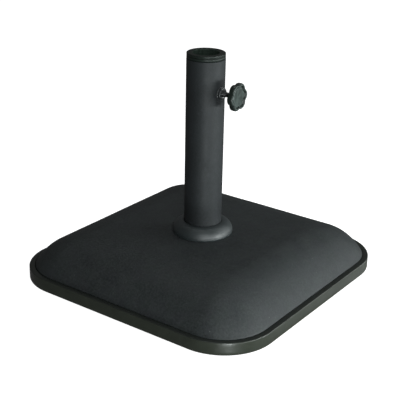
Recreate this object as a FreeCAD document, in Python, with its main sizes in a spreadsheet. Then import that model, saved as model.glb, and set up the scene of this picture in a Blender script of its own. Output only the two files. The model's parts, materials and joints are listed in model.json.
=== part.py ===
import FreeCAD, Part
import math
import os
import Sketcher

# Parasol base: a cast concrete slab in a plastic edge band, with a bolted-on steel stem
# that clamps a parasol pole. +Z is up, and the origin is on the floor under the stem's axis.
# The clamp screw's axis runs along +X.

V = FreeCAD.Vector
NEAR = 0.01
doc = FreeCAD.newDocument("parasol_base")

# ---------------------------------------------------------------- driving dimensions, mm
DIMENSIONS = {
    # slab and its edge band
    "base_side": 450, "base_corner": 86,
    "band_bottom": 2, "band_height": 19.75, "band_wall": 3, "band_ledge": 9, "band_rounding": 1.6,
    "slab_bottom": 4, "groove_width": 0.9, "shoulder_bottom": 22.4, "slab_top": 70.3,
    "shoulder_radius": 105, "crown_corner": 20,
    "wire_radius": 3, "wire_inset": 55, "wire_corner": 60, "wire_height": 24,
    # feet
    "foot_radius": 20, "foot_height": 8, "foot_offset": 160, "foot_bevel": 1.5,
    # stem and what bolts it down
    "tube_radius": 30.5, "tube_wall": 2, "stem_top": 366.5,
    "tube_rounding": 0.6, "plate_radius": 46, "plate_thickness": 4, "plate_drain": 5,
    "bolt_circle": 38, "bolt_radius": 4, "bolt_shank": 28, "bolt_clearance": 0.5,
    "bolt_head": 6.5, "bolt_head_height": 5,
    "washer_radius": 7.4, "washer_thickness": 1.2, "washer_clearance": 0.2,
    "anchor_radius": 6, "anchor_length": 36, "anchor_depth": 30,
    "anchor_flange": 8, "anchor_flange_height": 3,
    # cover ring
    "ring_radius": 49.3, "ring_height": 18.5, "ring_bore": 30.9, "ring_wall": 1.4,
    "ring_skirt": 1.7, "ring_collar": 1.5, "ring_collar_height": 5,
    # plastic guides for the pole
    "pole_bore": 21, "insert_flange": 30.3, "insert_flange_height": 9, "insert_depth": 40,
    "insert_fit": 0.05, "insert_groove": 0.7, "insert_groove_width": 0.9, "insert_bevel": 1.2,
    "insert_groove_low": 40.8, "insert_groove_high": 44,
    "guide_height": 40, "guide_floor": 4, "guide_drain": 5,
    # clamp screw
    "screw_height": 306.5, "boss_radius": 9.5, "boss_face": 34.5, "boss_bevel": 2, "boss_root": 26.8,
    "wall_hole": 4.6,
    "stud_radius": 4, "thread_fit": 0.06, "stud_neck": 3, "stud_neck_start": 22.6,
    "stud_shoulder": 26.9, "stud_bevel": 0.5,
    "pad_radius": 5.5, "pad_bevel": 1, "pad_tip": 21.5, "pad_end": 26.5, "pad_fit": 0.08,
    "knob_radius": 22, "knob_face": 64.5, "knob_rim": 10, "knob_rounding": 1.5,
    "knob_hub": 9.5, "knob_hub_flare": 11, "knob_hub_start": 49.5,
    "knob_dish": 1.6, "knob_dish_radius": 15, "knob_dish_floor": 13,
    "knob_scallop": 5, "knob_scallop_depth": 4, "knob_socket": 61,
}
FOOT_SIDES = {"front_left": (-1, -1), "front_right": (1, -1), "back_left": (-1, 1), "back_right": (1, 1)}
BOLT_COUNT = 4
BOLT_START = 45
BOLT_HEAD_TURN = 30
KNOB_LOBES = 6
KNOB_TURN = 35
SHOULDER_SECTIONS = 8
RING_SIDES = 8

dims = doc.addObject("Spreadsheet::Sheet", "dims")
for row, (alias, size) in enumerate(DIMENSIONS.items(), start=1):
    dims.set("A%d" % row, alias)
    dims.set("B%d" % row, str(size))
    dims.setAlias("B%d" % row, alias)
doc.recompute()


# ---------------------------------------------------------------- helpers
def bound(formula):
    """A formula in sheet aliases as an expression: each alias gets the sheet's name before it."""
    words = formula.replace("(", " ( ").replace(")", " ) ").split()
    return " ".join("dims." + word if word in DIMENSIONS else word for word in words)


def value(formula):
    """The number that a formula in sheet aliases stands for."""
    return float(dims.evalExpression(bound(formula)))


def new_body(name):
    body = doc.addObject("PartDesign::Body", name)
    body.Label = name
    return body


def new_sketch(body, name, role):
    """A sketch on one of the body's own origin planes."""
    sketch = body.newObject("Sketcher::SketchObject", name)
    plane = next(item for item in body.Origin.OriginFeatures if item.Role == role)
    sketch.AttachmentSupport = (plane, [""])
    sketch.MapMode = "FlatFace"
    return sketch


def set_size(sketch, constraint, formula):
    """Add a driving constraint and bind it to the sheet."""
    index = sketch.addConstraint(constraint)
    sketch.setExpression("Constraints[%d]" % index, bound(formula))


def draw_outline(sketch, corners):
    """A closed outline of straight sides through corners given as pairs of formulas."""
    points = [V(value(across), value(along), 0) for across, along in corners]
    for index, point in enumerate(points):
        sketch.addGeometry(Part.LineSegment(point, points[(index + 1) % len(points)]))
    for index in range(len(points)):
        sketch.addConstraint(Sketcher.Constraint("Coincident", index, 2, (index + 1) % len(points), 1))
    for index, (across, along) in enumerate(corners):
        if across == "0":
            sketch.addConstraint(Sketcher.Constraint("PointOnObject", index, 1, -2))
        else:
            distance = Sketcher.Constraint("DistanceX", -1, 1, index, 1, points[index].x)
            set_size(sketch, distance, across)
        if along == "0":
            sketch.addConstraint(Sketcher.Constraint("PointOnObject", index, 1, -1))
        else:
            distance = Sketcher.Constraint("DistanceY", -1, 1, index, 1, points[index].y)
            set_size(sketch, distance, along)


def draw_circle(sketch, radius, across="0"):
    """A circle centred on the sketch's horizontal axis."""
    sketch.addGeometry(Part.Circle(V(value(across), 0, 0), V(0, 0, 1), value(radius)))
    if across == "0":
        sketch.addConstraint(Sketcher.Constraint("Coincident", 0, 3, -1, 1))
    else:
        sketch.addConstraint(Sketcher.Constraint("PointOnObject", 0, 3, -1))
        set_size(sketch, Sketcher.Constraint("DistanceX", -1, 1, 0, 3, value(across)), across)
    set_size(sketch, Sketcher.Constraint("Radius", 0, value(radius)), radius)


def draw_rounded_square(sketch, side, corner):
    """Four sides and four corner arcs, centred on the sketch's origin."""
    half, radius = value(side) / 2, value(corner)
    flat = half - radius
    for quarter in range(4):
        turn = FreeCAD.Rotation(V(0, 0, 1), 90 * quarter)
        start, end = turn.multVec(V(half, -flat, 0)), turn.multVec(V(half, flat, 0))
        circle = Part.Circle(turn.multVec(V(flat, flat, 0)), V(0, 0, 1), radius)
        first = math.radians(90 * quarter)
        sketch.addGeometry(Part.LineSegment(start, end))
        sketch.addGeometry(Part.ArcOfCircle(circle, first, first + math.pi / 2))
    for piece in range(8):
        sketch.addConstraint(Sketcher.Constraint("Tangent", piece, 2, (piece + 1) % 8, 1))
    for side_index, direction in ((0, "Vertical"), (2, "Horizontal"), (4, "Vertical"), (6, "Horizontal")):
        sketch.addConstraint(Sketcher.Constraint(direction, side_index))
    for arc in (3, 5, 7):
        sketch.addConstraint(Sketcher.Constraint("Equal", 1, arc))
    sketch.addConstraint(Sketcher.Constraint("Equal", 0, 2))
    sketch.addConstraint(Sketcher.Constraint("Symmetric", 1, 3, 5, 3, -1, 1))
    set_size(sketch, Sketcher.Constraint("Radius", 1, radius), corner)
    set_size(sketch, Sketcher.Constraint("DistanceX", 4, 1, 0, 1, 2 * half), side)


def turn_outline(body, corners, axis="V_Axis"):
    """Revolve an outline round the body's Z axis (V_Axis) or its X axis (H_Axis)."""
    sketch = new_sketch(body, body.Name + "_outline", "XZ_Plane")
    draw_outline(sketch, corners)
    feature = body.newObject("PartDesign::Revolution", body.Name + "_turned")
    feature.Profile = sketch
    feature.ReferenceAxis = (sketch, [axis])
    feature.Angle = 360
    sketch.Visibility = False
    return feature


def pad_sketch(body, sketch, length):
    feature = body.newObject("PartDesign::Pad", body.Name + "_pad")
    feature.Profile = sketch
    feature.setExpression("Length", bound(length))
    return feature


def pocket_sketch(body, sketch, length, name):
    """Cut a sketch through the body, along the sketch's normal."""
    feature = body.newObject("PartDesign::Pocket", body.Name + "_" + name)
    feature.Profile = sketch
    feature.Reversed = True
    feature.setExpression("Length", bound(length))
    return feature


def round_top(body, sharp, height, reach, radius):
    """Round the edges of a feature that lie at a height and go out to a reach from the Z axis."""
    doc.recompute()
    edges = []
    for index, edge in enumerate(sharp.Shape.Edges, start=1):
        box = edge.BoundBox
        out = max(abs(box.XMin), abs(box.XMax), abs(box.YMin), abs(box.YMax))
        if abs(box.ZMin - value(height)) < NEAR and abs(out - value(reach)) < NEAR:
            edges.append("Edge%d" % index)
    rounding = body.newObject("PartDesign::Fillet", body.Name + "_rounding")
    rounding.Base = (sharp, edges)
    rounding.setExpression("Radius", bound(radius))
    body.Tip = rounding


def lift(thing, formula):
    """Raise an object to a height worked out from the sheet."""
    thing.setExpression("Placement.Base.z", bound(formula))


def cylinder(name, radius, height, bottom):
    """A plain upright cylinder on the Z axis."""
    thing = doc.addObject("Part::Cylinder", name)
    thing.setExpression("Radius", bound(radius))
    thing.setExpression("Height", bound(height))
    lift(thing, bottom)
    return thing


def around_bolts(name, single):
    """The same piece at every bolt position, as one group of separate solids."""
    copies = []
    for index in range(BOLT_COUNT):
        turn = FreeCAD.Rotation(V(0, 0, 1), BOLT_START + 360 / BOLT_COUNT * index)
        copy = single.Shape.copy()
        copy.translate(V(value("bolt_circle"), 0, 0))
        copy.rotate(V(0, 0, 0), turn.Axis, math.degrees(turn.Angle))
        copies.append(copy)
    group = doc.addObject("Part::Feature", name)
    group.Shape = Part.makeCompound(copies)
    group.Label = name
    return group


# ---------------------------------------------------------------- concrete slab
def rounded_wire(half, corner, height):
    """A level rounded square as a closed wire."""
    flat = half - corner
    edges = []
    for quarter in range(4):
        turn = FreeCAD.Rotation(V(0, 0, 1), 90 * quarter)
        lift_up = V(0, 0, height)
        start, end = V(half, -flat, 0), V(half, flat, 0)
        middle = V(flat + corner * math.sqrt(0.5), flat + corner * math.sqrt(0.5), 0)
        after = V(flat, half, 0)
        start, end, middle, after = (turn.multVec(p) + lift_up for p in (start, end, middle, after))
        edges.append(Part.LineSegment(start, end).toShape())
        edges.append(Part.Arc(end, middle, after).toShape())
    return Part.Wire(edges)


def slab_crown():
    """The pillow top: a level crown that falls to the rim along an arc of the shoulder radius."""
    rim_half = value("base_side / 2 - band_ledge - groove_width")
    rim_corner = value("base_corner - band_ledge - groove_width")
    radius = value("shoulder_radius")
    top, bottom = value("slab_top"), value("shoulder_bottom")
    steepest = math.acos(1 - (top - bottom) / radius)
    width = radius * math.sin(steepest)
    sections = []
    for step in range(SHOULDER_SECTIONS + 1):
        angle = steepest * (1 - step / SHOULDER_SECTIONS)
        inset = width - radius * math.sin(angle)
        corner = max(rim_corner - inset, value("crown_corner"))
        sections.append(rounded_wire(rim_half - inset, corner, top - radius * (1 - math.cos(angle))))
    return Part.makeLoft(sections, True, False)


def slab_block(side, corner, bottom, top):
    """A plain rounded square block between two heights."""
    wire = rounded_wire(value(side) / 2, value(corner), value(bottom))
    return Part.Face(wire).extrude(V(0, 0, value(top) - value(bottom)))


def make_slab():
    ledge_under = "band_bottom + band_height - band_wall"
    block = slab_block("base_side - 2 * band_wall", "base_corner - band_wall", "slab_bottom", ledge_under)
    neck_side = "base_side - 2 * ( band_ledge + groove_width )"
    neck_corner = "base_corner - band_ledge - groove_width"
    neck = slab_block(neck_side, neck_corner, ledge_under, "shoulder_bottom")
    form = doc.addObject("Part::Feature", "slab_form")
    form.Shape = block.fuse([neck, slab_crown()])

    tools = []
    for side, (across, along) in FOOT_SIDES.items():
        pocket = cylinder("pocket_" + side, "foot_radius", "foot_height", "0")
        pocket.setExpression("Placement.Base.x", bound("%d * foot_offset" % across))
        pocket.setExpression("Placement.Base.y", bound("%d * foot_offset" % along))
        tools.append(pocket)
    tools.append(reinforcement)
    tools.append(anchor_cavities)
    cutters = doc.addObject("Part::MultiFuse", "slab_cutters")
    cutters.Shapes = tools
    slab = doc.addObject("Part::Cut", "concrete_slab")
    slab.Base = form
    slab.Tool = cutters
    slab.Label = "concrete_slab"
    return slab


def make_reinforcement():
    """The welded wire ring cast into the slab."""
    half = value("base_side / 2 - wire_inset")
    path = rounded_wire(half, value("wire_corner"), value("wire_height"))
    circle = Part.Circle(V(half, 0, value("wire_height")), V(0, 1, 0), value("wire_radius"))
    ring = doc.addObject("Part::Feature", "reinforcement_ring")
    ring.Shape = path.makePipeShell([Part.Wire(circle.toShape())], True, False, 2)
    ring.Label = "reinforcement_ring"
    return ring


# ---------------------------------------------------------------- edge band and feet
def make_band():
    band = new_body("edge_band")
    outline = new_sketch(band, "band_outline", "XY_Plane")
    draw_rounded_square(outline, "base_side", "base_corner")
    pad_sketch(band, outline, "band_height")
    channel = new_sketch(band, "band_channel", "XY_Plane")
    draw_rounded_square(channel, "base_side - 2 * band_wall", "base_corner - band_wall")
    pocket_sketch(band, channel, "band_height - band_wall", "Channel")
    opening = new_sketch(band, "band_opening", "XY_Plane")
    draw_rounded_square(opening, "base_side - 2 * band_ledge", "base_corner - band_ledge")
    sharp = pocket_sketch(band, opening, "band_height", "Opening")
    round_top(band, sharp, "band_height", "base_side / 2", "band_rounding")
    lift(band, "band_bottom")
    return band


def make_foot(side, across, along):
    foot = new_body("foot_" + side)
    turn_outline(foot, [
        ("0", "0"), ("foot_radius - foot_bevel", "0"), ("foot_radius", "foot_bevel"),
        ("foot_radius", "foot_height"), ("0", "foot_height")])
    foot.setExpression("Placement.Base.x", bound("%d * foot_offset" % across))
    foot.setExpression("Placement.Base.y", bound("%d * foot_offset" % along))
    return foot


# ---------------------------------------------------------------- anchors, foot plate and bolts
def make_anchors():
    """Threaded steel anchors cast into the slab, each with a flange that grips the concrete."""
    cavity = doc.addObject("Part::MultiFuse", "anchor_cavity")
    cavity.Shapes = [
        cylinder("anchor_barrel", "anchor_radius", "anchor_length", "slab_top - anchor_length"),
        cylinder("anchor_flange_disc", "anchor_flange", "anchor_flange_height", "slab_top - anchor_length")]
    bore = cylinder("anchor_bore", "bolt_radius", "anchor_depth", "slab_top - anchor_depth")
    anchor = doc.addObject("Part::Cut", "anchor_single")
    anchor.Base = cavity
    anchor.Tool = bore
    doc.recompute()
    return around_bolts("threaded_anchors", anchor), around_bolts("anchor_cavities", cavity)


def make_foot_plate():
    plate = new_body("foot_plate")
    disc = new_sketch(plate, "plate_outline", "XY_Plane")
    draw_circle(disc, "plate_radius")
    pad_sketch(plate, disc, "plate_thickness")
    drain = new_sketch(plate, "plate_drain_hole", "XY_Plane")
    draw_circle(drain, "plate_drain")
    pocket_sketch(plate, drain, "plate_thickness", "Drain")
    hole = new_sketch(plate, "plate_bolt_hole", "XY_Plane")
    draw_circle(hole, "bolt_radius + bolt_clearance", "bolt_circle")
    holes = pocket_sketch(plate, hole, "plate_thickness", "BoltHole")
    doc.recompute()
    pattern = plate.newObject("PartDesign::PolarPattern", "plate_bolt_holes")
    pattern.Originals = [holes]
    pattern.Axis = (hole, ["N_Axis"])
    pattern.Angle = 360
    pattern.Occurrences = BOLT_COUNT
    plate.Tip = pattern
    lift(plate, "slab_top")
    plate.Placement.Rotation = FreeCAD.Rotation(V(0, 0, 1), BOLT_START)
    return plate


def make_bolts():
    """Hexagon bolts and their washers, on the foot plate."""
    head = doc.addObject("Part::Prism", "bolt_head_form")
    head.Polygon = 6
    head.setExpression("Circumradius", bound("bolt_head * 2 / 3 ^ 0.5"))
    head.setExpression("Height", bound("bolt_head_height"))
    lift(head, "slab_top + plate_thickness + washer_thickness")
    head.Placement.Rotation = FreeCAD.Rotation(V(0, 0, 1), BOLT_HEAD_TURN)
    under_head = "slab_top + plate_thickness + washer_thickness"
    shank = cylinder("bolt_shank_form", "bolt_radius", "bolt_shank", under_head + " - bolt_shank")
    bolt = doc.addObject("Part::MultiFuse", "bolt_single")
    bolt.Shapes = [head, shank]
    washer = doc.addObject("Part::Cut", "washer_single")
    washer.Base = cylinder("washer_disc", "washer_radius", "washer_thickness", "slab_top + plate_thickness")
    washer_hole = "bolt_radius + washer_clearance"
    washer.Tool = cylinder("washer_hole", washer_hole, "washer_thickness", "slab_top + plate_thickness")
    doc.recompute()
    return around_bolts("foot_bolts", bolt), around_bolts("foot_washers", washer)


# ---------------------------------------------------------------- stem
def make_tube():
    tube = new_body("stem_tube")
    length = "stem_top - insert_flange_height - slab_top - plate_thickness"
    turn_outline(tube, [
        ("tube_radius - tube_wall", "0"), ("tube_radius", "0"),
        ("tube_radius", length), ("tube_radius - tube_wall", length)])
    hole = new_sketch(tube, "tube_screw_hole", "YZ_Plane")
    centre = "screw_height - slab_top - plate_thickness"
    hole.addGeometry(Part.Circle(V(0, value(centre), 0), V(0, 0, 1), value("wall_hole")))
    hole.addConstraint(Sketcher.Constraint("PointOnObject", 0, 3, -2))
    set_size(hole, Sketcher.Constraint("DistanceY", -1, 1, 0, 3, value(centre)), centre)
    set_size(hole, Sketcher.Constraint("Radius", 0, value("wall_hole")), "wall_hole")
    sharp = pocket_sketch(tube, hole, "tube_radius * 2", "ScrewHole")
    round_top(tube, sharp, length, "tube_radius", "tube_rounding")
    lift(tube, "slab_top + plate_thickness")
    return tube


def ring_arc(shrink):
    """The quarter ellipse of the ring's dome from its skirt to its bore, shrunk by a thickness."""
    corners = []
    for side in range(RING_SIDES + 1):
        angle = math.pi / 2 * side / RING_SIDES
        across = "ring_bore + %.4f * ( ring_radius - ring_bore - %s )" % (math.cos(angle), shrink)
        along = "ring_skirt + %.4f * ( ring_height - ring_skirt - %s )" % (math.sin(angle), shrink)
        corners.append((across, along))
    return corners


def make_cover_ring():
    """A domed shell that hides the foot plate and its bolts, with a collar that fits the tube."""
    ring = new_body("cover_ring")
    outside, inside = ring_arc("0"), ring_arc("ring_wall")
    collar_end = "ring_height - ring_collar_height"
    corners = [("ring_radius", "0")] + outside
    corners += [("ring_bore", collar_end), ("ring_bore + ring_collar", collar_end)]
    corners += inside[-2::-1] + [("ring_radius - ring_wall", "0")]
    turn_outline(ring, corners)
    lift(ring, "slab_top")
    return ring


def make_top_insert():
    """The plastic reducer in the tube's mouth: a flange on the tube and a sleeve inside it."""
    insert = new_body("top_insert")
    top = "insert_depth + insert_flange_height"
    sleeve = "tube_radius - tube_wall - insert_fit"
    neck = "insert_flange - insert_groove"
    after_groove = "insert_groove_high + insert_groove_width"
    turn_outline(insert, [
        ("pole_bore", "0"), (sleeve, "0"), (sleeve, "insert_depth"), (neck, "insert_depth"),
        (neck, "insert_groove_low"), ("insert_flange", "insert_groove_low"),
        ("insert_flange", "insert_groove_high"), (neck, "insert_groove_high"),
        (neck, after_groove), ("insert_flange", after_groove),
        ("insert_flange", top + " - insert_bevel"), ("insert_flange - insert_bevel", top),
        ("pole_bore", top)])
    lift(insert, "stem_top - insert_flange_height - insert_depth")
    return insert


def make_pole_guide():
    """The plastic cup at the bottom of the tube that centres and carries the pole."""
    guide = new_body("lower_pole_guide")
    outer = "tube_radius - tube_wall - insert_fit"
    turn_outline(guide, [
        ("guide_drain", "0"), (outer, "0"), (outer, "guide_height"), ("pole_bore", "guide_height"),
        ("pole_bore", "guide_floor"), ("guide_drain", "guide_floor")])
    lift(guide, "slab_top + plate_thickness")
    return guide


# ---------------------------------------------------------------- clamp screw
def make_boss():
    """The threaded boss welded on the tube, with a saddle that fits the tube's round."""
    boss = new_body("clamp_boss_blank")
    turn_outline(boss, [
        ("boss_root", "stud_radius + thread_fit"), ("boss_root", "boss_radius"),
        ("boss_face - boss_bevel", "boss_radius"), ("boss_face", "boss_radius - boss_bevel"),
        ("boss_face", "stud_radius + thread_fit")], "H_Axis")
    lift(boss, "screw_height")
    saddle = cylinder("boss_saddle", "tube_radius", "4 * boss_radius", "screw_height - 2 * boss_radius")
    welded = doc.addObject("Part::Cut", "clamp_boss")
    welded.Base = boss
    welded.Tool = saddle
    welded.Label = "clamp_boss"
    return welded


def make_stud():
    stud = new_body("clamp_stud")
    turn_outline(stud, [
        ("stud_neck_start", "0"), ("stud_neck_start", "stud_neck"), ("stud_shoulder", "stud_neck"),
        ("stud_shoulder", "stud_radius - stud_bevel"), ("stud_shoulder + stud_bevel", "stud_radius"),
        ("knob_socket", "stud_radius"), ("knob_socket", "0")], "H_Axis")
    lift(stud, "screw_height")
    return stud


def make_pad():
    """The plastic pad on the screw's tip that bears on the pole and doesn't turn."""
    pad = new_body("pressure_pad")
    turn_outline(pad, [
        ("pad_tip", "0"), ("pad_tip", "pad_radius - pad_bevel"), ("pad_tip + pad_bevel", "pad_radius"),
        ("pad_end", "pad_radius"), ("pad_end", "stud_neck + pad_fit"),
        ("stud_neck_start - pad_fit", "stud_neck + pad_fit"), ("stud_neck_start - pad_fit", "0")], "H_Axis")
    lift(pad, "screw_height")
    return pad


def make_knob():
    """A lobed hand knob with a dished face, and a hub that holds the stud's end."""
    knob = new_body("hand_knob")
    back = "knob_face - knob_rim"
    turn_outline(knob, [
        ("knob_hub_start", "stud_radius"), ("knob_hub_start", "knob_hub - knob_rounding"),
        ("knob_hub_start + knob_rounding", "knob_hub"), (back, "knob_hub_flare"),
        (back, "knob_radius - knob_rounding"), (back + " + knob_rounding", "knob_radius"),
        ("knob_face - knob_rounding", "knob_radius"), ("knob_face", "knob_radius - knob_rounding"),
        ("knob_face", "knob_dish_radius"), ("knob_face - knob_dish", "knob_dish_floor"),
        ("knob_face - knob_dish", "0"), ("knob_socket", "0"), ("knob_socket", "stud_radius")], "H_Axis")
    scallop = new_sketch(knob, "knob_scallop_circle", "YZ_Plane")
    draw_circle(scallop, "knob_scallop", "knob_radius + knob_scallop - knob_scallop_depth")
    notch = pocket_sketch(knob, scallop, "knob_face * 2", "Scallop")
    doc.recompute()
    pattern = knob.newObject("PartDesign::PolarPattern", "knob_scallops")
    pattern.Originals = [notch]
    pattern.Axis = (scallop, ["N_Axis"])
    pattern.Angle = 360
    pattern.Occurrences = KNOB_LOBES
    knob.Tip = pattern
    lift(knob, "screw_height")
    knob.Placement.Rotation = FreeCAD.Rotation(V(1, 0, 0), KNOB_TURN)
    return knob


# ---------------------------------------------------------------- build, check and write
reinforcement = make_reinforcement()
threaded_anchors, anchor_cavities = make_anchors()
pieces = [make_slab(), reinforcement, make_band()]
pieces += [make_foot(side, across, along) for side, (across, along) in FOOT_SIDES.items()]
pieces += [threaded_anchors, make_foot_plate(), *make_bolts()]
pieces += [make_tube(), make_cover_ring(), make_top_insert(), make_pole_guide()]
pieces += [make_boss(), make_stud(), make_pad(), make_knob()]
doc.recompute()

for thing in doc.Objects:
    faults = {"Invalid", "Error"} & set(thing.State)
    if faults:
        raise RuntimeError("%s is %s" % (thing.Label, ", ".join(sorted(faults))))

os.makedirs("parts", exist_ok=True)
for piece in pieces:
    if piece.Shape.isNull() or not piece.Shape.isValid() or not piece.Shape.Solids:
        raise RuntimeError(piece.Label + " has no valid solid")
    piece.Shape.exportStep("parts/%s.step" % piece.Label)
    box = piece.Shape.BoundBox
    print("%-20s %2d solids %10.0f mm3  x %.1f..%.1f  y %.1f..%.1f  z %.1f..%.1f" % (
        piece.Label, len(piece.Shape.Solids), piece.Shape.Volume,
        box.XMin, box.XMax, box.YMin, box.YMax, box.ZMin, box.ZMax))
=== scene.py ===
import json
import math

import bmesh
import bpy
from mathutils import Matrix, Vector, noise


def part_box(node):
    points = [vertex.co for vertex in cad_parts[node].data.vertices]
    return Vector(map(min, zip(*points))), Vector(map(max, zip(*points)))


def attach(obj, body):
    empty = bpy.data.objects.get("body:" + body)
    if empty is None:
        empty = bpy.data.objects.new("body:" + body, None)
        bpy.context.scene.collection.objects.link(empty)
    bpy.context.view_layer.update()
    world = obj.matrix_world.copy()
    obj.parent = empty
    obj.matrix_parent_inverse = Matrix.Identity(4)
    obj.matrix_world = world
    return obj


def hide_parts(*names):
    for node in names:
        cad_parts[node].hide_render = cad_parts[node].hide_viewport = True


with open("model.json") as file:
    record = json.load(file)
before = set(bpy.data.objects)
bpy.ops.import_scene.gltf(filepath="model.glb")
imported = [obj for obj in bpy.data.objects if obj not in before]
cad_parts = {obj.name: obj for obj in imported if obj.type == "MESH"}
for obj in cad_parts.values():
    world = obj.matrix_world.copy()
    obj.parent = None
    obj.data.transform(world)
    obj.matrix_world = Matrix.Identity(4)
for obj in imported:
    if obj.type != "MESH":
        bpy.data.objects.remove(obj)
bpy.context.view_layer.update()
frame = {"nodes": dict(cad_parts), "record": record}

MM = 0.001


# ---------------------------------------------------------------- meshes
def new_piece(name, points, faces, body):
    """A smooth mesh object that rides on a body, with outward normals."""
    mesh = bpy.data.meshes.new(name)
    mesh.from_pydata(points, [], faces)
    work = bmesh.new()
    work.from_mesh(mesh)
    bmesh.ops.recalc_face_normals(work, faces=work.faces)
    work.to_mesh(mesh)
    work.free()
    mesh.shade_smooth()
    piece = bpy.data.objects.new(name, mesh)
    bpy.context.scene.collection.objects.link(piece)
    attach(piece, body)
    return piece


def join_rings(count, size, closed=False):
    """Quads between each ring of points and the next, and from the last to the first if closed."""
    faces = []
    for ring in range(count if closed else count - 1):
        here, there = ring * size, (ring + 1) % count * size
        for index in range(size):
            after = (index + 1) % size
            faces.append((here + index, here + after, there + after, there + index))
    return faces


def arc(centre, radius, start, end, steps):
    """Points of a profile along an arc, both ends included, in degrees."""
    points = []
    for step in range(steps + 1):
        angle = math.radians(start + (end - start) * step / steps)
        points.append((centre[0] + radius * math.cos(angle), centre[1] + radius * math.sin(angle)))
    return points


def lathe(profile, segments, along_x=False, closed=True):
    """Points and faces of a profile of (radius, position) turned round Z, or round X."""
    points = []
    for radius, position in profile:
        for index in range(segments):
            angle = 2 * math.pi * index / segments
            across, up = radius * math.cos(angle), radius * math.sin(angle)
            points.append((position, across, up) if along_x else (across, up, position))
    return points, join_rings(len(profile), segments, closed)


def rounded_square(half, corner, side_steps, corner_steps):
    """Points round a square with rounded corners, anticlockwise from the middle of the +X side."""
    flat = half - corner
    quarter = []
    for step in range(side_steps):
        quarter.append((half, flat * step / side_steps))
    for step in range(corner_steps):
        angle = math.pi / 2 * step / corner_steps
        quarter.append((flat + corner * math.cos(angle), flat + corner * math.sin(angle)))
    for step in range(side_steps):
        quarter.append((flat * (1 - step / side_steps), half))
    ring = []
    for turn in range(4):
        cosine, sine = round(math.cos(turn * math.pi / 2)), round(math.sin(turn * math.pi / 2))
        ring += [(x * cosine - y * sine, x * sine + y * cosine) for x, y in quarter]
    return ring


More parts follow.
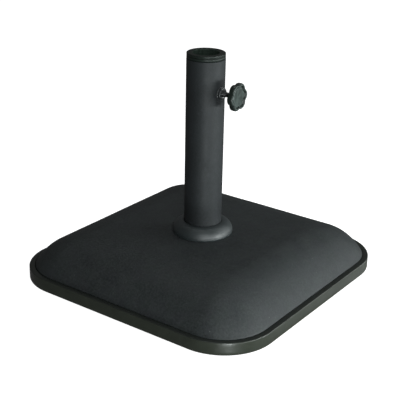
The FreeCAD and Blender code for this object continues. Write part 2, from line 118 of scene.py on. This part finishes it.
# ---------------------------------------------------------------- materials
class Surface:
    """A material with one Principled shader, and short calls that add nodes behind it."""

    def __init__(self, name, **settings):
        self.material = bpy.data.materials.new(name)
        self.material.use_nodes = True
        self.tree = self.material.node_tree
        self.shader = self.tree.nodes["Principled BSDF"]
        self.place = self.tree.nodes.new("ShaderNodeTexCoord").outputs["Object"]
        for socket, setting in settings.items():
            self.shader.inputs[socket.replace("_", " ")].default_value = setting

    def feed(self, socket, source):
        """Link a source to a socket, or set the socket when the source is a number or colour."""
        if isinstance(source, bpy.types.NodeSocket):
            self.tree.links.new(source, socket)
        else:
            socket.default_value = source

    def stretched(self, scale):
        """The object's own coordinates, scaled along each axis."""
        node = self.tree.nodes.new("ShaderNodeMapping")
        node.inputs["Scale"].default_value = scale
        self.feed(node.inputs["Vector"], self.place)
        return node.outputs["Vector"]

    def noise(self, scale, detail=4.0, roughness=0.55, distortion=0.0, place=None):
        node = self.tree.nodes.new("ShaderNodeTexNoise")
        node.inputs["Scale"].default_value = scale
        node.inputs["Detail"].default_value = detail
        node.inputs["Roughness"].default_value = roughness
        node.inputs["Distortion"].default_value = distortion
        self.feed(node.inputs["Vector"], place or self.place)
        return node.outputs["Fac"]

    def cells(self, scale):
        """The distance to the nearest of many scattered points."""
        node = self.tree.nodes.new("ShaderNodeTexVoronoi")
        node.inputs["Scale"].default_value = scale
        self.feed(node.inputs["Vector"], self.place)
        return node.outputs["Distance"]

    def cell_shade(self, scale):
        """One random level for each scattered cell."""
        node = self.tree.nodes.new("ShaderNodeTexVoronoi")
        node.inputs["Scale"].default_value = scale
        self.feed(node.inputs["Vector"], self.place)
        split = self.tree.nodes.new("ShaderNodeSeparateColor")
        self.feed(split.inputs[0], node.outputs["Color"])
        return split.outputs[0]

    def edges(self, sharpness):
        """1 on convex edges and 0 elsewhere."""
        node = self.tree.nodes.new("ShaderNodeNewGeometry")
        return self.remap(node.outputs["Pointiness"], 0.5 + 0.5 * sharpness, 0.5 + sharpness, 0, 1)

    def hollows(self, depth):
        """1 in concave creases and 0 elsewhere."""
        node = self.tree.nodes.new("ShaderNodeNewGeometry")
        return self.remap(node.outputs["Pointiness"], 0.5 - depth, 0.5 - 0.3 * depth, 1, 0)

    def within(self, radius):
        """1 nearer the Z axis than a radius, and 0 beyond it."""
        node = self.tree.nodes.new("ShaderNodeVectorMath")
        node.operation = "LENGTH"
        self.feed(node.inputs[0], self.stretched((1, 1, 0)))
        return self.remap(node.outputs["Value"], radius, radius + 0.5 * MM, 1, 0)

    def facing(self, axis):
        """1 on faces that look along one of the object's own axes, and 0 on those turned away."""
        split = self.tree.nodes.new("ShaderNodeSeparateXYZ")
        self.feed(split.inputs[0], self.tree.nodes["Texture Coordinate"].outputs["Normal"])
        return self.remap(split.outputs[axis], 0.55, 0.95, 0, 1)

    def remap(self, source, low, high, new_low, new_high):
        """A source's range from low to high, stretched to a new range and held at its ends."""
        node = self.tree.nodes.new("ShaderNodeMapRange")
        self.feed(node.inputs["Value"], source)
        limits = {"From Min": low, "From Max": high, "To Min": new_low, "To Max": new_high}
        for socket, setting in limits.items():
            node.inputs[socket].default_value = setting
        return node.outputs["Result"]

    def math(self, operation, first, second=0.0):
        node = self.tree.nodes.new("ShaderNodeMath")
        node.operation = operation
        self.feed(node.inputs[0], first)
        self.feed(node.inputs[1], second)
        return node.outputs[0]

    def mix(self, amount, first, second):
        node = self.tree.nodes.new("ShaderNodeMix")
        node.data_type = "RGBA"
        self.feed(node.inputs["Factor"], amount)
        self.feed(node.inputs["A"], first)
        self.feed(node.inputs["B"], second)
        return node.outputs["Result"]

    def bump(self, height, distance, strength=1.0, under=None):
        """A normal that follows a height, on top of another bump if one is given."""
        node = self.tree.nodes.new("ShaderNodeBump")
        node.inputs["Distance"].default_value = distance
        node.inputs["Strength"].default_value = strength
        self.feed(node.inputs["Height"], height)
        if under is not None:
            self.feed(node.inputs["Normal"], under)
        return node.outputs["Normal"]

    def finish(self, colour, roughness, normal):
        """Link what varies over the surface to the shader, and return the material."""
        self.feed(self.shader.inputs["Base Color"], colour)
        self.feed(self.shader.inputs["Roughness"], roughness)
        self.feed(self.shader.inputs["Normal"], normal)
        return self.material


def tone(red, green, blue):
    """An opaque colour, in linear light."""
    return (red, green, blue, 1.0)


def concrete():
    """Black dyed concrete: cloudy, slightly sandy, with pinholes from trapped air, darkened with painted
    shade.
    """
    s = Surface("black_concrete", Specular_IOR_Level=0.25)
    clouds = s.noise(9, 5, 0.6, 0.4)
    stains = s.remap(s.noise(34, 6, 0.65, 0.8), 0.35, 0.7, 0, 1)
    clouds = s.remap(clouds, 0.3, 0.7, 0, 1)
    colour = s.mix(clouds, tone(0.0085, 0.0114, 0.0106), tone(0.0152, 0.0194, 0.0186))
    colour = s.mix(s.math("MULTIPLY", stains, 0.45), colour, tone(0.0250, 0.0280, 0.0265))
    mottle = s.remap(s.noise(310, 4, 0.7), 0.36, 0.64, 0, 1)
    colour = s.mix(s.math("MULTIPLY", mottle, 0.6), colour, tone(0.0330, 0.0370, 0.0385))
    tint = s.remap(s.noise(55, 3, 0.6), 0.35, 0.65, 0, 0.35)
    colour = s.mix(tint, colour, tone(0.0190, 0.0180, 0.0225))
    grains = s.remap(s.cell_shade(650), 0.93, 1.0, 0, 0.2)
    colour = s.mix(grains, colour, tone(0.055, 0.060, 0.058))
    spots = s.remap(s.cells(110), 0.06, 0.11, 1, 0)
    chips = s.math("MULTIPLY", spots, s.remap(s.cell_shade(110), 0.955, 0.965, 0, 0.8))
    colour = s.mix(chips, colour, tone(0.075, 0.080, 0.076))
    pin_place = s.cells(75)
    pinholes = s.remap(pin_place, 0.03, 0.07, 1, 0)
    chosen = s.remap(s.cell_shade(75), 0.80, 0.84, 0, 1)
    pinholes = s.math("MULTIPLY", pinholes, chosen)
    # Painted shade: the pinholes are darkened, standing in for the shade inside them.
    colour = s.mix(pinholes, colour, tone(0.006, 0.006, 0.006))
    roughness = s.remap(stains, 0, 1, 0.5, 0.66)
    fine = s.bump(s.noise(700, 3, 0.6), 0.00026, 0.7)
    coarse = s.bump(s.noise(140, 4, 0.6), 0.0004, 0.35, fine)
    pits = s.bump(s.math("MULTIPLY", pinholes, -1.0), 0.0012, 0.9, coarse)
    return s.finish(colour, roughness, pits)


def powder_coat(name, specular, rough):
    """Dark grey powder coat on steel, with a fine orange peel, dust and a few small chips."""
    s = Surface(name, Specular_IOR_Level=specular)
    clouds = s.remap(s.noise(14, 4, 0.6), 0.3, 0.7, 0, 1)
    colour = s.mix(clouds, tone(0.0098, 0.0116, 0.0116), tone(0.0148, 0.0176, 0.0180))
    mottle = s.remap(s.noise(330, 4, 0.7), 0.36, 0.64, 0, 0.4)
    colour = s.mix(mottle, colour, tone(0.0250, 0.0260, 0.0310))
    dust = s.remap(s.noise(190, 5, 0.7), 0.55, 0.75, 0, 0.5)
    colour = s.mix(dust, colour, tone(0.0270, 0.0290, 0.0330))
    spots = s.remap(s.noise(330, 3, 0.6), 0.70, 0.73, 0, 1)
    chips = s.math("MULTIPLY", spots, s.remap(s.noise(23, 2, 0.5), 0.5, 0.6, 0, 1))
    colour = s.mix(chips, colour, tone(0.045, 0.048, 0.050))
    roughness = s.remap(s.noise(60, 5, 0.6), 0.3, 0.7, rough - 0.05, rough + 0.07)
    return s.finish(colour, roughness, s.bump(s.noise(520, 2, 0.5), 0.00012, 0.5))


def plastic(name, dark, light, rough, grain=800, specular=0.4, rub=1.9, wear_and_sheen=0.0, bore=0.0,
            top_shade=0.0):
    """Moulded plastic with a fine grain, faint flow marks, rubbed edges and painted shade in the creases.

    Where asked, faces up are darkened with painted shade, faces within the bore's radius of the stem's
    axis are lightened in streaks with painted light, and faces towards +X get lighter scratched patches
    that are partly handling wear and partly a painted highlight.
    """
    s = Surface(name, Specular_IOR_Level=specular)
    flow = s.remap(s.noise(22, 4, 0.6, 1.2), 0.3, 0.7, 0, 1)
    colour = s.mix(flow, tone(*dark), tone(*light))
    rubbed = tone(*[min(1.0, channel * rub) for channel in light])
    colour = s.mix(s.math("MULTIPLY", s.edges(0.05), 0.7), colour, rubbed)
    # Painted shade: concave creases are darkened, standing in for the shade that falls in them.
    colour = s.mix(s.math("MULTIPLY", s.hollows(0.025), 0.85), colour, tone(0.005, 0.006, 0.005))
    # Painted shade: faces that look up are darkened, standing in for the shade that falls on the band's
    # ledge.
    if top_shade:
        patches = s.remap(s.noise(45, 4, 0.6), 0.3, 0.7, 0.75 * top_shade, top_shade)
        painted_top_shade = s.math("MULTIPLY", s.facing("Z"), patches)
        colour = s.mix(painted_top_shade, colour, tone(0.0040, 0.0055, 0.0050))
    # Painted light: faces inside the bore are lightened in streaks, standing in for light reaching into
    # it.
    if bore:
        streaks = s.noise(500, 4, 0.6, place=s.stretched((1, 1, 0.06)))
        bore_light_streaks = s.math("MULTIPLY", s.within(bore), s.remap(streaks, 0.3, 0.6, 0.4, 1))
        colour = s.mix(bore_light_streaks, colour, tone(0.034, 0.050, 0.040))
    # Partly painted highlight: faces towards +X, where the key light falls, get lighter scratched patches
    # that are handling wear and also stand in for the face's highlight.
    if wear_and_sheen:
        scratch_and_sheen_marks = s.noise(150, 4, 0.65, 0.6, s.stretched((1, 1, 0.5)))
        scratch_and_sheen_marks = s.remap(scratch_and_sheen_marks, 0.40, 0.60, 0.2 * wear_and_sheen, wear_and_sheen)
        polish_and_highlight = s.math("MULTIPLY", s.facing("X"), scratch_and_sheen_marks)
        colour = s.mix(polish_and_highlight, colour, tone(0.044, 0.058, 0.053))
    smudge = s.remap(s.noise(70, 5, 0.65), 0.3, 0.7, rough - 0.05, rough + 0.07)
    return s.finish(colour, smudge, s.bump(s.noise(grain, 2, 0.5), 0.00006, 0.5))


def metal(name, colour, rough, rust=0.0):
    """Bare or plated steel with brushed streaks and, where asked, spots of rust."""
    s = Surface(name, Metallic=0.9)
    streaks = s.noise(60, 4, 0.6, place=s.stretched((1, 1, 12)))
    shade = s.mix(s.remap(streaks, 0.3, 0.7, 0, 1), tone(*[c * 0.75 for c in colour]), tone(*colour))
    spots = s.remap(s.noise(180, 5, 0.7), 0.62 - 0.2 * rust, 0.72, 0, 1)
    shade = s.mix(s.math("MULTIPLY", spots, 0.15 + 0.8 * rust), shade, tone(0.09, 0.035, 0.015))
    roughness = s.remap(streaks, 0.2, 0.8, rough - 0.08, rough + 0.1)
    return s.finish(shade, roughness, s.bump(streaks, 0.00005, 0.4))


def rubber():
    """Matt black rubber with pale scuffs."""
    s = Surface("foot_rubber", Specular_IOR_Level=0.3)
    scuffs = s.remap(s.noise(90, 6, 0.7), 0.45, 0.7, 0, 1)
    colour = s.mix(scuffs, tone(0.018, 0.018, 0.018), tone(0.045, 0.044, 0.042))
    return s.finish(colour, s.remap(scuffs, 0, 1, 0.6, 0.8), s.bump(s.noise(1100, 2, 0.5), 0.0001, 0.5))


MATERIALS = {
    "concrete": concrete(),
    "stem_paint": powder_coat("powder_coat", 0.20, 0.56),
    "weld_paint": powder_coat("thick_paint", 0.8, 0.33),
    # The band's faces up are darkened with painted shade.
    "band_plastic": plastic("band_plastic", (0.0152, 0.0180, 0.0130), (0.0232, 0.0268, 0.0200), 0.32,
                            specular=0.45, rub=1.25, top_shade=0.8),
    "ring_plastic": plastic("ring_plastic", (0.0072, 0.0112, 0.0120), (0.0108, 0.0160, 0.0172), 0.50,
                            grain=1200, specular=0.72),
    "insert_plastic": plastic("insert_plastic", (0.0055, 0.0082, 0.0068), (0.0085, 0.0122, 0.0102), 0.42,
                              specular=0.18, rub=1.4, bore=21.4 * MM),
    "guide_plastic": plastic("guide_plastic", (0.03, 0.03, 0.03), (0.04, 0.04, 0.04), 0.5),
    "knob_plastic": plastic("knob_plastic", (0.008, 0.012, 0.010), (0.014, 0.019, 0.017), 0.34,
                            grain=700, specular=0.22, rub=1.3, wear_and_sheen=0.85),
    "pad_plastic": plastic("pad_plastic", (0.06, 0.06, 0.06), (0.08, 0.08, 0.08), 0.5),
    "foot_rubber": rubber(),
    "zinc_steel": metal("zinc_steel", (0.55, 0.56, 0.58), 0.36),
    "stud_steel": metal("black_oxide_steel", (0.05, 0.05, 0.052), 0.42),
    "wire_steel": metal("wire_steel", (0.22, 0.20, 0.19), 0.5, rust=0.6),
}


def dress(piece, material):
    """Give a piece one of the materials, in place of whatever it has."""
    piece.data.materials.clear()
    piece.data.materials.append(MATERIALS[material])


def make(name, shape, body, slot, replaced=None, material=None):
    """A piece from (points, faces), standing for a CAD node if one is named.

    Its material is its slot's own, unless another is named.
    """
    piece = new_piece(name, shape[0], shape[1], body)
    dress(piece, material or slot)
    if replaced:
        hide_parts(replaced)


for part in frame["record"]["subparts"]:
    dress(frame["nodes"][part["node"]], part["material_slot"])


# ---------------------------------------------------------------- the frame's places and shared sizes
band_low, band_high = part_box("edge_band")
slab_low, slab_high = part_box("concrete_slab")
ring_low, ring_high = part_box("cover_ring")
tube_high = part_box("stem_tube")[1]
insert_low, insert_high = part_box("top_insert")
knob_low, knob_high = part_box("hand_knob")
boss_low, boss_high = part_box("clamp_boss")
stud_low, stud_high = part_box("clamp_stud")

HALF = band_high.x
CORNER = 86 * MM
LEDGE = 9 * MM
BAND_WALL = 3 * MM
STEM_RADIUS = tube_high.x
STEM_WALL = 2 * MM
SCREW_HEIGHT = (knob_low.z + knob_high.z) / 2
BOSS_RADIUS = (boss_high.y - boss_low.y) / 2


# ---------------------------------------------------------------- concrete slab
GROOVE = 0.9 * MM
SHOULDER = 105 * MM
SHOULDER_BOTTOM = 22.4 * MM
SHOULDER_STEPS = 56
CROWN_CORNER = 20 * MM
CROWN_STEPS = 40
SIDE_STEPS = 44
CORNER_STEPS = 60
SWELL = 0.225 * MM
RIPPLE = 0.06 * MM
SHRINK = 0.15 * MM


def slab_rings():
    """(half side, corner radius, height) of each ring of the slab, from its underside up to its crown."""
    rim_half, rim_corner = HALF - LEDGE - GROOVE, CORNER - LEDGE - GROOVE
    block_half, block_corner = slab_high.x, CORNER - (HALF - slab_high.x)
    ledge_under = band_high.z - BAND_WALL
    under = slab_low.z
    rings = [(block_half * part, block_corner * part, under) for part in (0.02, 0.25, 0.5, 0.75, 0.98)]
    rings += [(block_half, block_corner, under + 1 * MM), (block_half, block_corner, ledge_under)]
    rings += [(rim_half, rim_corner, ledge_under), (rim_half, rim_corner, band_high.z - 0.6 * MM)]
    top = slab_high.z
    steepest = math.acos(1 - (top - SHOULDER_BOTTOM) / SHOULDER)
    width = SHOULDER * math.sin(steepest)
    for step in range(SHOULDER_STEPS + 1):
        angle = steepest * (1 - step / SHOULDER_STEPS)
        inset = width - SHOULDER * math.sin(angle)
        corner = max(rim_corner - inset, CROWN_CORNER)
        rings.append((rim_half - inset, corner, top - SHOULDER * (1 - math.cos(angle))))
    crown_half, crown_corner = rings[-1][0], rings[-1][1]
    for step in range(1, CROWN_STEPS + 1):
        part = 1 - step / CROWN_STEPS * 0.985
        rings.append((crown_half * part, crown_corner * part, top))
    return rings


def slab_shape():
    """A pillow of concrete, whose shoulders and crown are cast a little uneven."""
    rings = slab_rings()
    points = []
    for half, corner, height in rings:
        for x, y in rounded_square(half, corner, SIDE_STEPS, CORNER_STEPS):
            place = Vector((x, y, height))
            if height > SHOULDER_BOTTOM - 0.1 * MM:
                place.z += SWELL * noise.noise(place * 14) + RIPPLE * noise.noise(place * 60) - SHRINK
            points.append(place)
    size = 4 * (2 * SIDE_STEPS + CORNER_STEPS)
    faces = join_rings(len(rings), size)
    faces.append(tuple(range(size)))
    faces.append(tuple(reversed(range((len(rings) - 1) * size, len(rings) * size))))
    return points, faces


make("concrete_pillow", slab_shape(), "stand", "concrete", "concrete_slab")


# ---------------------------------------------------------------- edge band
def band_shape():
    """The band's section, as (inset, height), swept round the slab."""
    round_out, round_in, side_steps, corner_steps = 1.3 * MM, 0.7 * MM, 24, 36
    bottom, top = band_low.z, band_high.z
    section = [(BAND_WALL, bottom), (0.8 * MM, bottom), (0.25 * MM, bottom + 0.25 * MM)]
    section += [(0, bottom + 0.8 * MM)]
    section += [(0, bottom + (top - bottom) * part) for part in (0.3, 0.5, 0.7)]
    section += [(round_out - x, top - round_out + y) for x, y in arc((0, 0), round_out, 0, 90, 6)]
    section += [(x, top) for x in (3.2 * MM, 5.6 * MM)]
    section += reversed(arc((LEDGE - round_in, top - round_in), round_in, 0, 90, 4))
    section += [(LEDGE, top - BAND_WALL), (BAND_WALL, top - BAND_WALL)]
    points = []
    for inset, height in section:
        for x, y in rounded_square(HALF - inset, CORNER - inset, side_steps, corner_steps):
            points.append((x, y, height))
    return points, join_rings(len(section), 4 * (2 * side_steps + corner_steps), closed=True)


make("moulded_band", band_shape(), "stand", "band_plastic", "edge_band")


# ---------------------------------------------------------------- feet
def foot_shape(middle):
    """A rubber disc with three tread grooves under it and a rounded lower edge."""
    radius, height, soft, deep = 20 * MM, 8 * MM, 1.8 * MM, 1.2 * MM
    section = [(0.3 * MM, height), (radius - 0.4 * MM, height), (radius, height - 0.4 * MM)]
    section += [(radius - soft + x, soft + y) for x, y in arc((0, 0), soft, 0, -90, 6)]
    for groove in (15 * MM, 10 * MM, 5 * MM):
        section += [(groove + 1.1 * MM, 0), (groove + 0.7 * MM, deep)]
        section += [(groove - 0.7 * MM, deep), (groove - 1.1 * MM, 0)]
    section += [(0.3 * MM, 0)]
    points, faces = lathe(section, 72)
    return [(x + middle.x, y + middle.y, z) for x, y, z in points], faces


for side in ("front_left", "front_right", "back_left", "back_right"):
    foot = "foot_" + side
    foot_low, foot_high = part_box(foot)
    make("tread_" + foot, foot_shape((foot_low + foot_high) / 2), "stand", "foot_rubber", foot)


# ---------------------------------------------------------------- cover ring
def ring_shape():
    """A thin shell: a quarter ellipse from its skirt on the slab up to a rounded edge against the stem."""
    outer, top, bottom = ring_high.x, ring_high.z, ring_low.z
    bore, wall, skirt, soft = 30.9 * MM, 1.4 * MM, 1.7 * MM, 0.5 * MM
    collar, collar_depth = 1.5 * MM, 5 * MM
    across, up = outer - bore - soft, top - bottom - skirt
    section = [(outer - 0.5 * MM, bottom), (outer, bottom + 0.4 * MM)]
    section += [(bore + soft + across * x, bottom + skirt + up * z) for x, z in arc((0, 0), 1, 0, 90, 28)]
    section += arc((bore + soft, top - soft), soft, 105, 180, 4)
    section += [(bore, top - collar_depth), (bore + collar, top - collar_depth)]
    section += [(bore + collar, top - 2.4 * MM)]
    across, up = outer - bore - wall, up - wall
    section += [(bore + across * x, bottom + skirt + up * z) for x, z in arc((0, 0), 1, 78, 0, 16)]
    section += [(outer - wall, bottom)]
    return lathe(section, 160)


make("moulded_ring", ring_shape(), "ring", "ring_plastic", "cover_ring")


# ---------------------------------------------------------------- top insert
def insert_shape():
    """A sleeve inside the stem, under a flange with two grooves round it."""
    top, bottom = insert_high.z, insert_low.z
    seat = tube_high.z
    outer, bore = insert_high.x, 21 * MM
    sleeve = 28.45 * MM
    soft = 0.9 * MM
    groove = outer - 0.8 * MM
    middle = seat + 4.2 * MM
    section = [(bore, bottom + 0.5 * MM), (bore + 0.5 * MM, bottom), (sleeve - 0.5 * MM, bottom)]
    section += [(sleeve, bottom + 0.5 * MM), (sleeve, seat), (groove, seat), (groove, seat + 0.8 * MM)]
    section += [(outer - 0.2 * MM, seat + 0.9 * MM), (outer, seat + 1.2 * MM), (outer, middle - 0.3 * MM)]
    section += [(outer - 0.25 * MM, middle), (groove, middle + 0.1 * MM), (groove, middle + 0.9 * MM)]
    section += [(outer - 0.25 * MM, middle + 1.0 * MM), (outer, middle + 1.3 * MM)]
    section += arc((outer - soft, top - soft), soft, 0, 90, 5)
    section += arc((bore + 1.2 * MM, top - 1.2 * MM), 1.2 * MM, 90, 180, 6)
    return lathe(section, 128)


make("moulded_insert", insert_shape(), "stand", "insert_plastic", "top_insert")


# ---------------------------------------------------------------- clamp screw
def raised(shape):
    """The same shape with its X axis at the screw's height."""
    return [(x, y, z + SCREW_HEIGHT) for x, y, z in shape[0]], shape[1]


def boss_shape():
    """A turned boss with a round edge and a bore for the screw, cut to the stem's bore at its root."""
    face, start, bore = boss_high.x, 28 * MM, 4.1 * MM
    soft, hollow = 1.8 * MM, STEM_RADIUS - STEM_WALL
    section = [(bore, start), (BOSS_RADIUS, start)]
    section += [(r, x) for x, r in reversed(arc((face - soft, BOSS_RADIUS - soft), soft, 0, 90, 6))]
    section += [(bore + 0.8 * MM, face), (bore, face - 0.8 * MM)]
    points, faces = lathe(section, 64, along_x=True)
    points = [(math.sqrt(hollow ** 2 - y ** 2) if x == start else x, y, z) for x, y, z in points]
    return raised((points, faces))


make("turned_boss", boss_shape(), "stand", "stem_paint", "clamp_boss", material="weld_paint")


def weld_shape():
    """A lumpy bead where the boss meets the round of the tube."""
    radius, around, across = BOSS_RADIUS + 0.3 * MM, 120, 10
    points = []
    for index in range(around):
        angle = 2 * math.pi * index / around
        out = Vector((0, math.cos(angle), math.sin(angle)))
        centre = out * radius
        centre.x = math.sqrt(STEM_RADIUS ** 2 - centre.y ** 2) + 0.2 * MM
        thick = (1.3 + 0.10 * math.sin(angle * 21) + 0.15 * noise.noise(out * 4)) * MM
        for turn in range(across):
            roll = 2 * math.pi * turn / across
            points.append(centre + thick * (Vector((1, 0, 0)) * math.cos(roll) + out * math.sin(roll)))
    return raised((points, join_rings(around, across, closed=True)))


make("boss_weld", weld_shape(), "stand", "stem_paint", material="weld_paint")


def stud_shape():
    """An M8 screw with its helical thread, from its neck in the pad to its seat in the knob."""
    radius, depth, pitch = (stud_high.y - stud_low.y) / 2, 0.62 * MM, 1.25 * MM
    neck_end, thread_end, end = 26.9 * MM, 54 * MM, stud_high.x
    segments, per_pitch = 40, 10
    points = []
    stations = [(stud_low.x, 0.3 * MM, 0), (stud_low.x, 2.6 * MM, 0), (stud_low.x + 0.4 * MM, 3 * MM, 0)]
    stations += [(neck_end, 3 * MM, 0)]
    count = round((thread_end - neck_end) / pitch * per_pitch)
    for step in range(1, count):
        stations.append((neck_end + (thread_end - neck_end) * step / count, radius, 1))
    stations += [(thread_end, radius, 0), (end - 0.5 * MM, radius, 0)]
    stations += [(end, radius - 0.5 * MM, 0), (end, 0.3 * MM, 0)]
    for x, r, threaded in stations:
        for index in range(segments):
            part = index / segments
            ridge = abs(((x / pitch + part) % 1) * 2 - 1)
            reach = r - threaded * depth * ridge
            angle = 2 * math.pi * part
            points.append((x, reach * math.cos(angle), reach * math.sin(angle)))
    faces = join_rings(len(stations), segments)
    faces.append(tuple(range(segments)))
    faces.append(tuple(reversed(range(len(points) - segments, len(points)))))
    return raised((points, faces))


make("threaded_stud", stud_shape(), "clamp_screw", "stud_steel", "clamp_stud")


def petal(angle):
    """The knob's outline: the reach at an angle of six round lobes that meet in soft notches."""
    lobes, first_notch, middle, lobe = 6, math.radians(35), 11.6, 10.4
    softness = math.radians(2.5)
    reach = 0
    for shift in (-softness, 0, softness):
        part = ((angle + shift - first_notch) * lobes / (2 * math.pi)) % 1 - 0.5
        turn = part * 2 * math.pi / lobes
        reach += middle * math.cos(turn) + math.sqrt(lobe ** 2 - (middle * math.sin(turn)) ** 2)
    return reach / 3


def knob_shape():
    """A thick lobed head with a raised rim round its dished face, and a flared hub on the stud."""
    full, face, back = 22, knob_high.x, knob_high.x - 10 * MM
    hub = knob_low.x
    # Each station is its place along the screw, its reach in mm and its share of the lobed outline.
    stations = [(hub, 4.1, 0), (hub, 7.4, 0), (hub + 0.3 * MM, 8.1, 0), (hub + 1.2 * MM, 8.6, 0),
                (back - 1.6 * MM, 10.2, 0), (back - 0.5 * MM, 11.6, 0), (back, 13.4, 0.2),
                (back, 16.0, 0.7), (back + 0.1 * MM, 19.4, 1), (back + 0.5 * MM, 20.6, 1),
                (back + 1.2 * MM, 21.5, 1), (back + 2.2 * MM, 21.9, 1), (back + 3.6 * MM, full, 1),
                (face - 3.6 * MM, full, 1), (face - 2.0 * MM, 21.8, 1), (face - 1.0 * MM, 21.3, 1),
                (face - 0.3 * MM, 20.6, 1), (face, 19.9, 1), (face, 18.9, 1), (face - 0.4 * MM, 18.3, 1),
                (face - 2.6 * MM, 17.7, 1), (face - 3.0 * MM, 17.1, 1), (face - 2.9 * MM, 16.2, 1),
                (face - 2.1 * MM, 15.4, 1), (face - 2.0 * MM, 13.5, 0.6), (face - 1.9 * MM, 9, 0.1),
                (face - 1.8 * MM, 4, 0), (face - 1.7 * MM, 0.4, 0)]
    segments = 216
    points = []
    for x, r, lobed in stations:
        for index in range(segments):
            angle = 2 * math.pi * index / segments
            reach = (lobed * (petal(angle) - full + r) + (1 - lobed) * r) * MM
            points.append((x, reach * math.cos(angle), reach * math.sin(angle)))
    faces = join_rings(len(stations), segments)
    faces.append(tuple(reversed(range(len(points) - segments, len(points)))))
    faces.append(tuple(range(segments)))
    return raised((points, faces))


make("moulded_knob", knob_shape(), "clamp_screw", "knob_plastic", "hand_knob")


# ---------------------------------------------------------------- floor, light and camera
def studio_floor():
    """A wide pale floor with a backdrop of the same colour at its far edge."""
    mesh = bpy.data.meshes.new("studio_floor")
    reach, height, steps = 30, 20, 64
    points = [(reach * math.cos(2 * math.pi * i / steps), reach * math.sin(2 * math.pi * i / steps), z)
              for z in (0, height) for i in range(steps)]
    mesh.from_pydata(points, [], [tuple(range(steps))] + join_rings(2, steps))
    floor = bpy.data.objects.new("studio_floor", mesh)
    bpy.context.scene.collection.objects.link(floor)
    s = Surface("pale_floor", Roughness=0.9, Specular_IOR_Level=0.0)
    s.shader.inputs["Base Color"].default_value = tone(0.6, 0.6, 0.6)
    s.shader.inputs["Emission Color"].default_value = tone(1, 1, 1)
    s.shader.inputs["Emission Strength"].default_value = 0.97
    mesh.materials.append(s.material)
    floor.visible_glossy = False
    floor.visible_diffuse = False
    floor.visible_shadow = False


def soft_light(name, azimuth, elevation, distance, size, power, aim=(0, 0, 0.15)):
    """A soft box that faces a point. Azimuth is anticlockwise from +X, in degrees as elevation is."""
    light = bpy.data.lights.new(name, "AREA")
    light.shape = "RECTANGLE"
    light.size, light.size_y = size
    light.energy = power
    light.color = (0.94, 1.0, 1.0)
    lamp = bpy.data.objects.new(name, light)
    a, e = math.radians(azimuth), math.radians(elevation)
    away = Vector((math.cos(a) * math.cos(e), math.sin(a) * math.cos(e), math.sin(e)))
    lamp.location = Vector(aim) + away * distance
    lamp.rotation_mode = "QUATERNION"
    lamp.rotation_quaternion = away.to_track_quat("Z", "Y")
    bpy.context.scene.collection.objects.link(lamp)


def studio_camera():
    """The view: a long lens, above and to the right of the front, a little off level."""
    azimuth, elevation, roll = math.radians(35.84), math.radians(22.32), math.radians(1.16)
    distance, aside, height = 1.5608, -0.0049, 0.1223
    back = Vector((math.sin(azimuth) * math.cos(elevation), -math.cos(azimuth) * math.cos(elevation),
                   math.sin(elevation)))
    level = Vector((math.cos(azimuth), math.sin(azimuth), 0))
    up = back.cross(level)
    right = level * math.cos(roll) + up * math.sin(roll)
    above = up * math.cos(roll) - level * math.sin(roll)
    data = bpy.data.cameras.new("camera")
    data.sensor_width = 36
    data.lens = 86.59
    camera = bpy.data.objects.new("camera", data)
    axes = Matrix((right, above, back)).transposed()
    place = back * distance + level * aside + Vector((0, 0, height))
    camera.matrix_world = Matrix.Translation(place) @ axes.to_4x4()
    bpy.context.scene.collection.objects.link(camera)
    bpy.context.scene.camera = camera


def studio_world():
    """A dim, even light from all round."""
    world = bpy.data.worlds.new("studio")
    world.use_nodes = True
    background = world.node_tree.nodes["Background"]
    background.inputs["Color"].default_value = tone(1, 1, 1)
    background.inputs["Strength"].default_value = 0.112
    bpy.context.scene.world = world
    bpy.context.scene.view_settings.view_transform = "Standard"


studio_world()
studio_floor()
soft_light("key", 8, 2, 1.6, (1.3, 0.24), 33)
soft_light("edge", 55, 4, 1.6, (0.6, 0.25), 4)
soft_light("front", -44, 34, 1.6, (0.35, 0.35), 6)
soft_light("low", -45, 3, 1.6, (0.25, 0.1), 10, (0, 0, 0.04))
soft_light("bounce", -43, -13, 1.4, (0.22, 0.12), 6, (0, 0, 0.02))
soft_light("rim", 56, -22, 1.6, (1.4, 0.35), 0.85, (0.2, -0.13, 0.01))
soft_light("top", 120, 82, 1.6, (0.8, 0.8), 6.5)
soft_light("side", 48, 36, 1.6, (0.5, 0.4), 5.5)
studio_camera()
